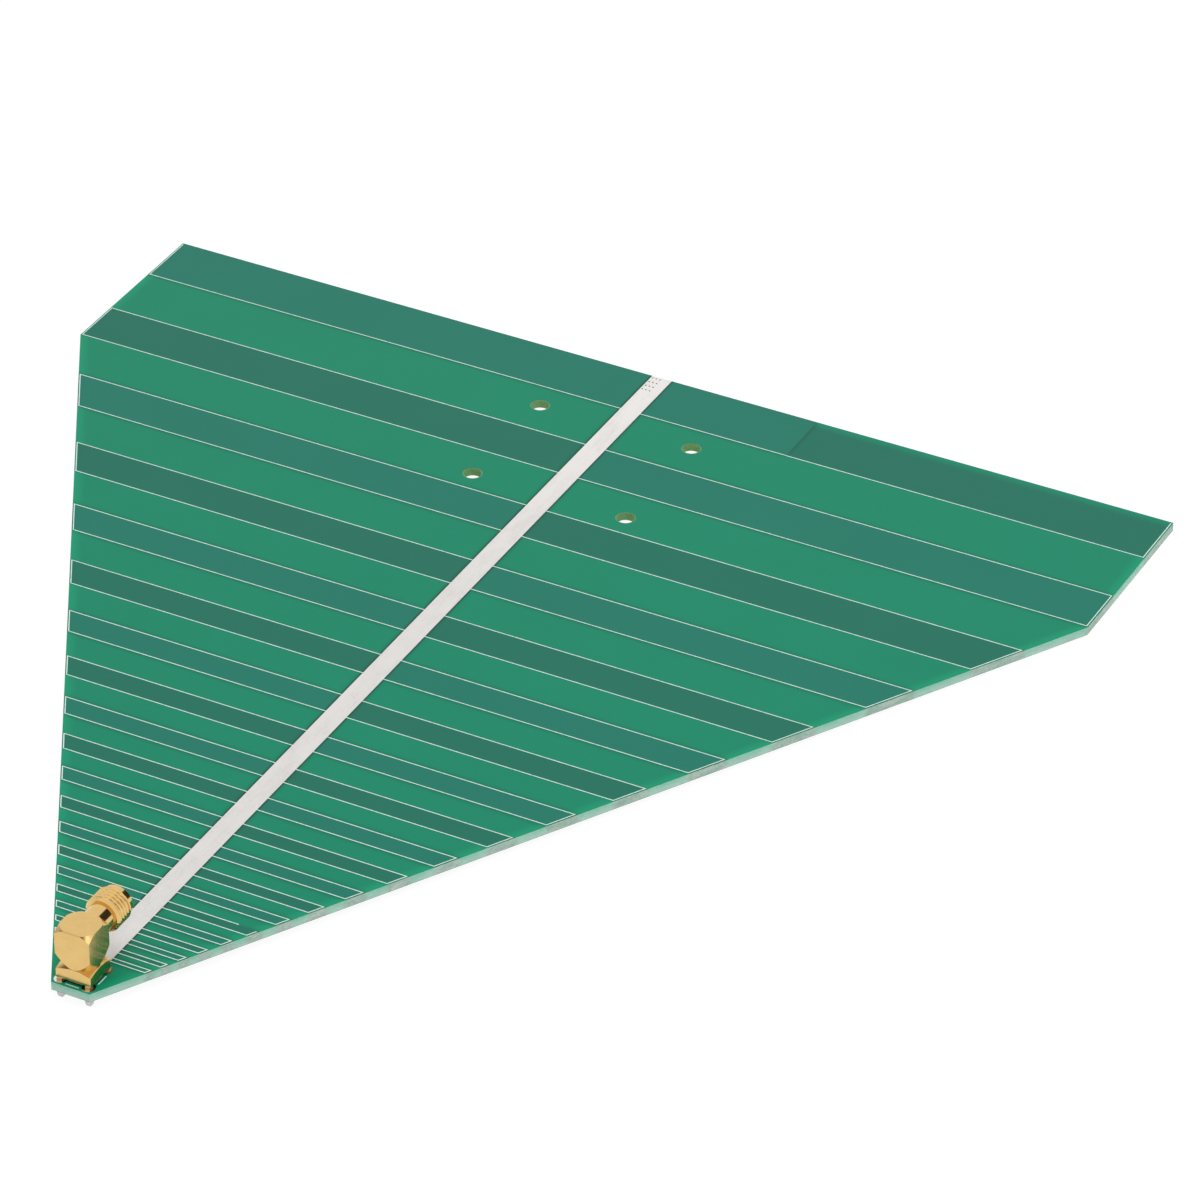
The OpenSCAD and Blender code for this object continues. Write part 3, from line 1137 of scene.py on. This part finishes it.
@dataclass(frozen=True)
class RoomPatch:
    """A round part of the room that metal mirrors dimmer, or brighter where the depth is negative.

    The depth holds up to the inner angle from the middle and ends at the outer one, both in degrees.
    """

    towards: Point
    inner: float
    outer: float
    depth: float

    def level(self, graph: Graph, ray: bpy.types.NodeSocket) -> Value:
        """Light that the patch leaves in a direction.

        Args:
            graph: the world's nodes.
            ray: the direction looked in.

        Returns:
            1 outside the patch, and 1 less the depth in its middle.
        """
        inputs = {0: ray, 1: tuple(Vector(self.towards).normalized())}
        near = graph.node("ShaderNodeVectorMath", {"operation": "DOT_PRODUCT"}, inputs).outputs["Value"]
        edges = (math.cos(math.radians(self.outer)), math.cos(math.radians(self.inner)))
        return 1 - self.depth * Value(graph, near).rise(*edges)


@dataclass
class Studio:
    """Camera, lamp, white surroundings and a pale floor that keeps the shadow.

    Places and lengths are in metres, the lens and the sensor in millimetres. A foot is a Y and a Z.
    """

    eye: Point = (0.443182, -0.848663, 0.620725)
    aim: Point = (0.022840, -0.037003, 0.001600)
    roll: float = math.radians(0.4026)
    lens: float = 195.847
    sensor_w: float = 36.0
    farthest: float = 50.0
    lamp_place: Point = (0.25, 0.0, 1.0)
    lamp_aim: Point = (0.25, 0.0, 0.0)
    lamp_sides: Pair = (1.3, 0.9)
    lamp_watts: float = 7.0
    floor_half: float = 4.0
    front_foot: Pair = (-0.16996, -0.0017)
    rear_foot: Pair = (0.03055, 0.0)
    floor_matt: Colour = (0.80, 0.80, 0.80)
    floor_shaded: Colour = (0.10, 0.10, 0.10)
    floor_glow: float = 0.94
    sky_level: float = 0.5
    room: tuple[RoomPatch, ...] = (
        RoomPatch((0.50, 0.74, 0.38), 20, 25, 0.96),
        RoomPatch((-0.72, -0.05, 0.70), 16, 28, 0.85),
        RoomPatch((-0.95, 0.12, 0.24), 9, 22, 0.33),
        RoomPatch((0.26, -0.39, 0.89), 8, 15, 0.85),
        RoomPatch((0.42, -0.19, 0.89), 6, 16, -0.9),
        RoomPatch((-0.06, -0.19, 0.98), 7, 12, -0.8),
    )

    def camera(self) -> None:
        """Stands the camera where the photograph was taken from."""
        made = bpy.data.objects.new("camera", bpy.data.cameras.new("camera"))
        made.data.lens = self.lens
        made.data.sensor_width = self.sensor_w
        made.data.clip_end = self.farthest
        look = (Vector(self.aim) - Vector(self.eye)).normalized()
        level = look.cross(Vector((0, 0, 1))).normalized()
        upright = level.cross(look)
        right = level * math.cos(self.roll) + upright * math.sin(self.roll)
        turned = Matrix((right, right.cross(look), -look)).transposed()
        made.matrix_world = Matrix.Translation(self.eye) @ turned.to_4x4()
        bpy.context.scene.collection.objects.link(made)
        bpy.context.scene.camera = made

    def lamp(self) -> None:
        """Hangs one oblong soft lamp overhead, which metal does not mirror."""
        light = bpy.data.lights.new("overhead", "AREA")
        light.shape = "RECTANGLE"
        light.size, light.size_y = self.lamp_sides
        light.energy = self.lamp_watts
        made = bpy.data.objects.new("overhead", light)
        made.location = self.lamp_place
        facing = Vector(self.lamp_aim) - Vector(self.lamp_place)
        made.rotation_euler = facing.to_track_quat("-Z", "Y").to_euler()
        made.visible_glossy = False
        bpy.context.scene.collection.objects.link(made)

    def seen(self, graph: Graph) -> Value:
        """Picks the rays that show a background: from the camera, or by way of metal or glass.

        Args:
            graph: the nodes of the world or the floor.

        Returns:
            1 for such rays and 0 for all others.
        """
        path = graph.node("ShaderNodeLightPath")
        names = ("Is Camera Ray", "Is Glossy Ray", "Is Transmission Ray")
        camera, glossy, through = (Value(graph, path.outputs[name]) for name in names)
        return camera.most(glossy).most(through)

    def sky(self) -> None:
        """White surroundings, with the dim and bright parts of the room that metal mirrors."""
        world = bpy.data.worlds.new("studio")
        bpy.context.scene.world = world
        graph = Graph(world)
        ray = graph.node("ShaderNodeTexCoord").outputs["Generated"]
        mirrored = 1.0
        for patch in self.room:
            mirrored = patch.level(graph, ray) * mirrored
        glossy = Value(graph, graph.node("ShaderNodeLightPath").outputs["Is Glossy Ray"])
        seen = self.seen(graph)
        level = (1 - seen) * self.sky_level + seen * (1 - glossy * (1 - mirrored))
        back = graph.node("ShaderNodeBackground", {}, {"Color": WHITE, "Strength": level})
        graph.node("ShaderNodeOutputWorld", {}, {"Surface": back.outputs[0]})

    def floor(self) -> None:
        """Lays a pale floor through the front leg tips and the rear edge, where the antenna rests.

        Its height is the front foot's, plus the slope between both feet times the way from that foot.
        """
        (y0, z0), (y1, z1) = self.front_foot, self.rear_foot
        slope = (z1 - z0) / (y1 - y0)
        across, along = np.meshgrid(np.linspace(-1, 1, 3), np.linspace(-1, 1, 3))
        x = across.ravel() * self.floor_half
        y = along.ravel() * self.floor_half
        points = np.column_stack([x, y, z0 + slope * (y - y0)])
        # The first point of each of the four faces on the grid of three by three points.
        corner = np.array([0, 1, 3, 4])
        quads = np.stack([corner, corner + 1, corner + 4, corner + 3], axis=-1)
        mesh = bpy.data.meshes.new("floor")
        mesh.from_pydata(points.tolist(), [], quads.tolist())
        made = bpy.data.objects.new("floor", mesh)
        bpy.context.scene.collection.objects.link(made)
        paint(made, self.floor_material())
        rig.stage(made)

    def floor_material(self) -> bpy.types.Material:
        """White to the rays that show a background, less the object's shadow, and matt to all others.

        Returns:
            The floor's material.
        """
        made = bpy.data.materials.new("pale_floor")
        graph = Graph(made)
        matt = graph.node("ShaderNodeBsdfDiffuse", {}, {"Color": self.floor_matt})
        shaded = graph.node("ShaderNodeBsdfDiffuse", {}, {"Color": self.floor_shaded})
        glow = graph.node("ShaderNodeEmission", {}, {"Color": WHITE, "Strength": self.floor_glow})
        shown = graph.node("ShaderNodeAddShader", {}, {0: shaded.outputs[0], 1: glow.outputs[0]})
        inputs = {0: self.seen(graph), 1: matt.outputs[0], 2: shown.outputs[0]}
        both = graph.node("ShaderNodeMixShader", {}, inputs)
        graph.node("ShaderNodeOutputMaterial", {}, {"Surface": both.outputs[0]})
        return made

    def build(self) -> None:
        """Sets up the whole studio."""
        bpy.context.scene.view_settings.view_transform = "Standard"
        self.camera()
        self.sky()
        self.floor()
        self.lamp()


def write_sizes(solids: tuple[Vector, Vector]) -> None:
    """Writes the box of the solids and the box of what is shown.

    Args:
        solids: lowest and highest corner of the solids.
    """
    boxes = {"cad": solids, "visual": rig.bounds()}
    lists = {name: [list(corner) for corner in box] for name, box in boxes.items()}
    with open(SIZE_FILE, "w") as out:
        json.dump(lists, out, indent=1)


def main() -> None:
    """Loads the frame, dresses every node, adds the threaded barrel and sets up the studio."""
    logging.basicConfig(level=logging.INFO, format="%(message)s")
    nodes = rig.load()["nodes"]
    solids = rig.bounds()
    board, jack, studio = Board(), Jack(), Studio()
    made: dict[Finish, bpy.types.Material] = {}
    for name, finish in (board.finishes() | jack.finishes()).items():
        if finish not in made:
            made[finish] = finish.material()
        paint(nodes[name], made[finish])
        LOG.info("node %s takes %s", name, finish.name)
    barrel = jack.barrel()
    paint(barrel, jack.barrel_finish().material())
    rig.ride(barrel, "root")
    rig.replaces(barrel, "jack_barrel")
    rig.slot(barrel, "gold_plate")
    LOG.info("piece %s has %d faces", barrel.name, len(barrel.data.polygons))
    studio.build()
    LOG.info("studio is set")
    write_sizes(solids)


if __name__ == "__main__":
    main()
